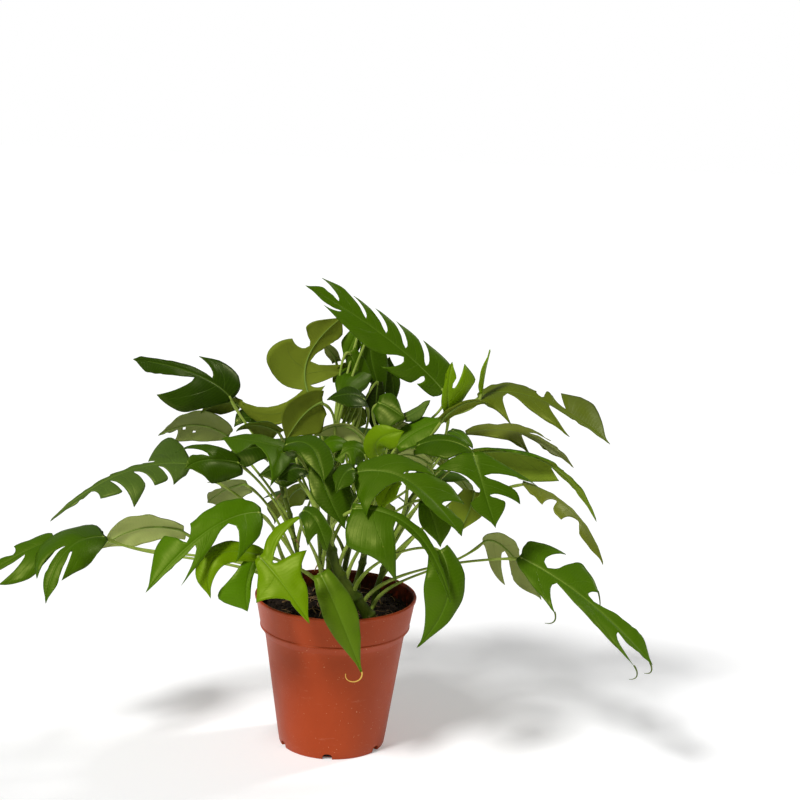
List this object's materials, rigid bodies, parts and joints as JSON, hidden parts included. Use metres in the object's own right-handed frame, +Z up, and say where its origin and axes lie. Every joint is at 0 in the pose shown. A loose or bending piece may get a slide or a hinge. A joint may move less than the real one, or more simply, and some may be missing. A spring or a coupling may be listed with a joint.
{
  "type": "potted mini monstera",
  "caption": "Young split-leaf vine with deeply cut leaves on thin stalks, growing from soil in a tapered plastic nursery pot.",
  "frame": {"origin": "middle of the pot's flat foot, on the face it rests on", "axes": "+Z up along the pot's axis, -Y towards the side with the most leaves, +X to that side's right"},
  "size_m": [0.4732, 0.2437, 0.3513],
  "materials": {
    "pot_plastic": "satin",
    "soil": "rough, damp peat",
    "leaf": "satin, waxy leaf",
    "stalk": "satin",
    "fibre": "dry, matt"
  },
  "bodies": {
    "root": {"pot": "pot_plastic", "soil": "soil", "vine_left": "leaf", "vine_low": "leaf", "vine_front": "leaf", "vine_rightfront": "leaf", "vine_right": "leaf", "vine_upper": "leaf", "vine_crown": "leaf", "vine_back": "leaf"}
  },
  "joints": []
}
